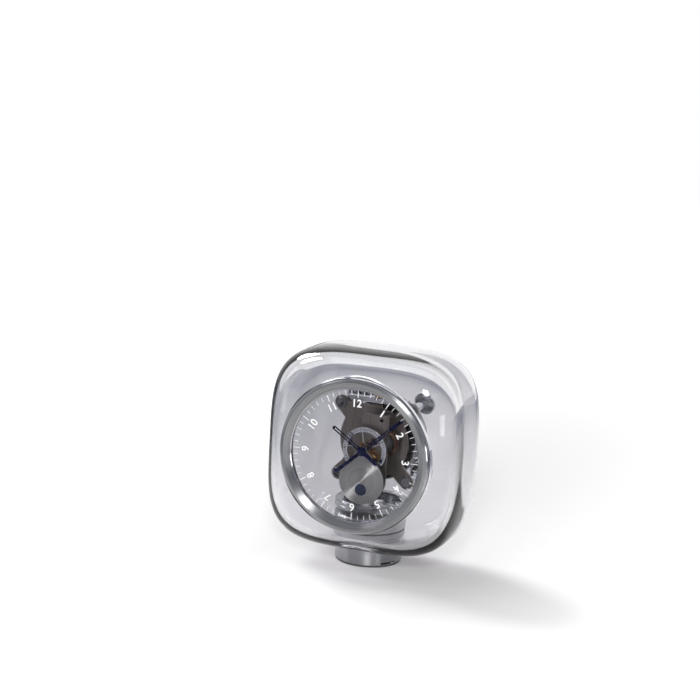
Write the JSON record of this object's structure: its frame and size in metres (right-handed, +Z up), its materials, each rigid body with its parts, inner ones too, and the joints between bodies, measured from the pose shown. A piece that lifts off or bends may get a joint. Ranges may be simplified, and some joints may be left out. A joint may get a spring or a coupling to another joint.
{
  "type": "atmospheric clock",
  "caption": "Mantel clock in a hollow clear crystal case on a round foot: open movement with a moon plate, a round glazed window, a torsion balance below and a rear bellows drum.",
  "frame": {"origin": "on the surface that the clock stands on, under the middle of the case", "axes": "+X to the right of someone facing the dial, the dial faces -Y, +Z up"},
  "size_m": [0.246, 0.1459, 0.2668],
  "materials": {
    "crystal": "polished clear, faint purplish grey tint",
    "dial_glass": "polished clear",
    "satin_steel": "satin",
    "polished_steel": "polished",
    "grained_nickel": "fine vertical grain",
    "blued_steel": "satin blue",
    "silvered_brass": "sunburst brushed",
    "moon_blue": "dark blue lacquer",
    "gilt_brass": "satin",
    "month_lacquer": "pale satin",
    "black_rubber": "matt",
    "grey_felt": "felt",
    "spring_steel": "bright"
  },
  "bodies": {
    "case": {"crystal_body": "crystal", "base_pad": "grey_felt", "base_plate": "satin_steel", "foot_housing": "satin_steel", "base_gasket": "black_rubber", "inner_collar": "satin_steel", "foot_screw_1": "polished_steel", "foot_screw_2": "polished_steel", "foot_screw_3": "polished_steel", "main_plate": "grained_nickel", "front_bridge": "grained_nickel", "moon_plate": "silvered_brass", "escapement_cock": "grained_nickel", "plate_screw_lower_left": "polished_steel", "plate_screw_upper_left": "polished_steel", "plate_screw_lower_right": "polished_steel", "plate_screw_upper_right": "polished_steel", "post_lower_left": "polished_steel", "post_upper_left": "polished_steel", "post_lower_right": "polished_steel", "post_upper_right": "polished_steel", "rear_bolt_lower_left": "polished_steel", "rear_bolt_upper_left": "polished_steel", "rear_bolt_lower_right": "polished_steel", "rear_bolt_upper_right": "polished_steel", "suspension_bridge": "polished_steel", "bellows_housing": "satin_steel", "bellows_cover": "satin_steel", "bellows_capsule": "gilt_brass", "winding_chain": "spring_steel"},
    "window": {"bezel": "satin_steel", "dial_glass": "dial_glass", "glass_retainer": "satin_steel", "window_seal": "black_rubber"},
    "minute_arbor": {"centre_arbor": "gilt_brass", "minute_hand": "blued_steel", "hand_nut": "blued_steel"},
    "hour_pipe": {"hour_wheel": "gilt_brass", "hour_hand": "blued_steel"},
    "motion_wheel": {"minute_wheel": "gilt_brass"},
    "going_barrel": {"barrel": "gilt_brass", "mainspring": "spring_steel"},
    "third_arbor": {"third_wheel": "gilt_brass"},
    "escape_arbor": {"escape_wheel": "gilt_brass"},
    "month_ring": {"month_wheel": "month_lacquer"},
    "moon": {"moon_disc": "moon_blue"},
    "pallets": {"pallet_lever": "polished_steel"},
    "winding_arbor": {"barrel_arbor": "polished_steel"},
    "ratchet_click": {"click": "polished_steel"},
    "bellows_end": {"bellows_cap": "gilt_brass"},
    "pulley": {"winding_pulley": "gilt_brass"},
    "suspension": {"suspension_block": "gilt_brass", "regulator_index": "polished_steel", "torsion_wire": "spring_steel"},
    "balance": {"balance_hub": "satin_steel", "balance_ring": "polished_steel", "impulse_roller": "gilt_brass"},
    "lever": {"lock_lever": "polished_steel"},
    "stem": {"lock_stem": "satin_steel"}
  },
  "joints": [
    {"name": "window_release", "type": "slide", "parent": "case", "child": "window", "axis": [0, -1, 0], "range_m": [0, 0.06]},
    {"name": "minute_turn", "type": "hinge", "parent": "case", "child": "minute_arbor", "pos_m": [0, 0, 0.1447], "axis": [0, 1, 0], "continuous": true},
    {"name": "hour_turn", "type": "hinge", "parent": "case", "child": "hour_pipe", "pos_m": [0, 0, 0.1447], "axis": [0, 1, 0], "continuous": true},
    {"name": "motion_turn", "type": "hinge", "parent": "case", "child": "motion_wheel", "pos_m": [0.0087, 0, 0.136], "axis": [0, 1, 0], "continuous": true},
    {"name": "barrel_turn", "type": "hinge", "parent": "case", "child": "going_barrel", "pos_m": [0.0187, 0, 0.15151], "axis": [0, 1, 0], "continuous": true},
    {"name": "third_turn", "type": "hinge", "parent": "case", "child": "third_arbor", "pos_m": [0.00554, 0, 0.12403], "axis": [0, 1, 0], "continuous": true},
    {"name": "escape_turn", "type": "hinge", "parent": "case", "child": "escape_arbor", "pos_m": [0, 0, 0.13678], "axis": [0, 1, 0], "continuous": true},
    {"name": "month_turn", "type": "hinge", "parent": "case", "child": "month_ring", "pos_m": [0, 0, 0.1447], "axis": [0, 1, 0], "continuous": true},
    {"name": "moon_turn", "type": "hinge", "parent": "case", "child": "moon", "pos_m": [0, 0, 0.1074], "axis": [0, 1, 0], "continuous": true},
    {"name": "pallet_swing", "type": "hinge", "parent": "case", "child": "pallets", "pos_m": [0, 0, 0.12478], "axis": [0, 1, 0], "range_deg": [-4, 4]},
    {"name": "winding_turn", "type": "hinge", "parent": "case", "child": "winding_arbor", "pos_m": [0.0187, 0, 0.15151], "axis": [0, 1, 0], "continuous": true},
    {"name": "click_swing", "type": "hinge", "parent": "case", "child": "ratchet_click", "pos_m": [0.00271, 0, 0.15485], "axis": [0, 1, 0], "range_deg": [-8, 0], "stiffness_Nm_per_rad": 0.0001, "springref_deg": 14.32},
    {"name": "bellows_stroke", "type": "slide", "parent": "case", "child": "bellows_end", "axis": [0, -1, 0], "range_m": [0, 0.004], "deforming": ["bellows_capsule", "winding_chain"]},
    {"name": "pulley_turn", "type": "hinge", "parent": "case", "child": "pulley", "pos_m": [0.0187, 0, 0.15151], "axis": [0, 1, 0], "range_deg": [0, 13.5]},
    {"name": "regulator_turn", "type": "hinge", "parent": "case", "child": "suspension", "pos_m": [0, 0.01001, 0.2], "axis": [0, 0, 1], "range_deg": [-15, 15]},
    {"name": "balance_turn", "type": "hinge", "parent": "suspension", "child": "balance", "pos_m": [0, 0.01001, 0.11748], "axis": [0, 0, 1], "range_deg": [-270, 270], "stiffness_Nm_per_rad": 0.00000373},
    {"name": "lock_turn", "type": "hinge", "parent": "case", "child": "lever", "pos_m": [0, 0.01001, 0.0047], "axis": [0, 0, 1], "range_deg": [-16, 0]},
    {"name": "stem_lift", "type": "slide", "parent": "case", "child": "stem", "axis": [0, 0, 1], "range_m": [0, 0.0015]}
  ],
  "couplings": [
    {"joint": "hour_turn", "follows": "minute_turn", "ratio": 0.083333},
    {"joint": "motion_turn", "follows": "minute_turn", "ratio": -0.33333},
    {"joint": "barrel_turn", "follows": "minute_turn", "ratio": -0.16667},
    {"joint": "third_turn", "follows": "minute_turn", "ratio": -2},
    {"joint": "escape_turn", "follows": "minute_turn", "ratio": 4},
    {"joint": "month_turn", "follows": "minute_turn", "ratio": 0.00011408},
    {"joint": "moon_turn", "follows": "minute_turn", "ratio": 0.00070547},
    {"joint": "pulley_turn", "follows": "bellows_stroke", "rad_per_m": 57.6},
    {"joint": "lock_turn", "follows": "stem_lift", "rad_per_m": -186.17}
  ]
}
